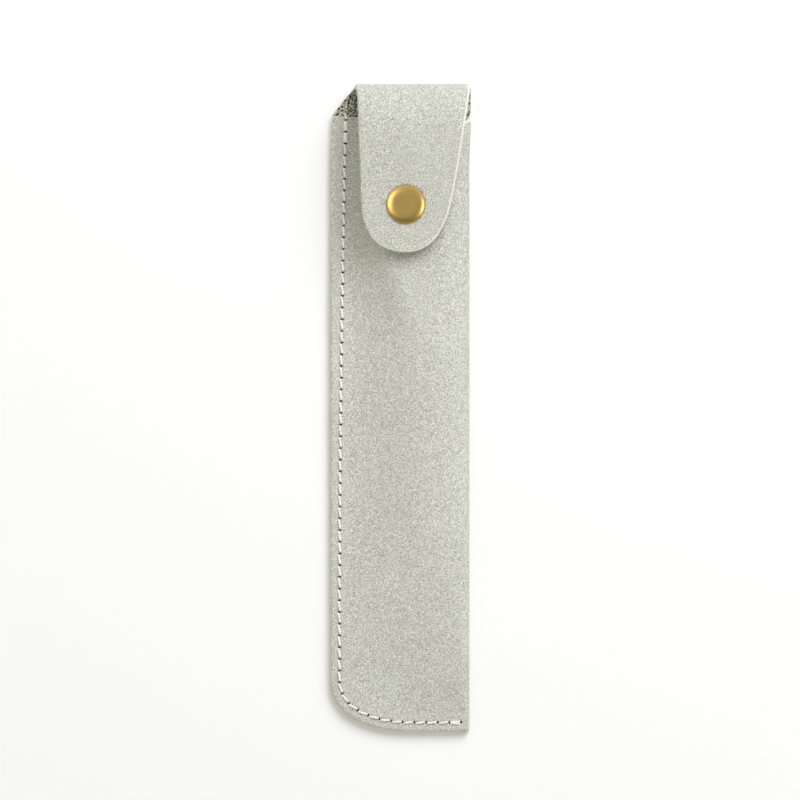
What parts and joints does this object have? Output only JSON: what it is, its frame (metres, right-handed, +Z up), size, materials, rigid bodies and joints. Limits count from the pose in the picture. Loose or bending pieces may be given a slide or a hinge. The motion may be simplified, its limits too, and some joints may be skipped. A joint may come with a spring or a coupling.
{
  "type": "pen sleeve",
  "caption": "Slim leather sleeve for a single pen, folded and lockstitched, with a flap that bends over the mouth and closes with a round brass snap.",
  "frame": {"origin": "under the middle of the sleeve as it lies on its back: the middle of its width and length, at the underside", "axes": "+X across towards the folded edge, +Y along the length towards the mouth and the flap's bend, +Z up out of the front"},
  "size_m": [0.0354, 0.165, 0.0152],
  "materials": {
    "leather": "pale grey, fine matt grain",
    "backing": "dark mottled fibre backing",
    "thread": "white twisted polyester thread",
    "brass": "satin"
  },
  "bodies": {
    "sleeve": {"wrap_leather": "leather", "wrap_lining": "backing", "needle_thread": "thread", "bobbin_thread": "thread", "snap_stud": "brass", "stud_rivet": "brass"},
    "flap_bend": {"bend_leather": "leather", "bend_lining": "backing"},
    "flap": {"flap_leather": "leather", "flap_lining": "backing", "snap_cap": "brass", "cap_post": "brass", "snap_socket": "brass", "socket_spring": "brass"}
  },
  "joints": [
    {"name": "flap_root_bend", "type": "hinge", "parent": "sleeve", "child": "flap_bend", "pos_m": [0, 0.08104, 0.00146], "axis": [-1, 0, 0], "range_deg": [0, 85]},
    {"name": "flap_top_bend", "type": "hinge", "parent": "flap_bend", "child": "flap", "pos_m": [0, 0.0788, 0.01141], "axis": [-1, 0, 0], "range_deg": [0, 85], "deforming": ["socket_spring"]}
  ],
  "couplings": [
    {"joint": "flap_top_bend", "follows": "flap_root_bend", "ratio": 1}
  ]
}
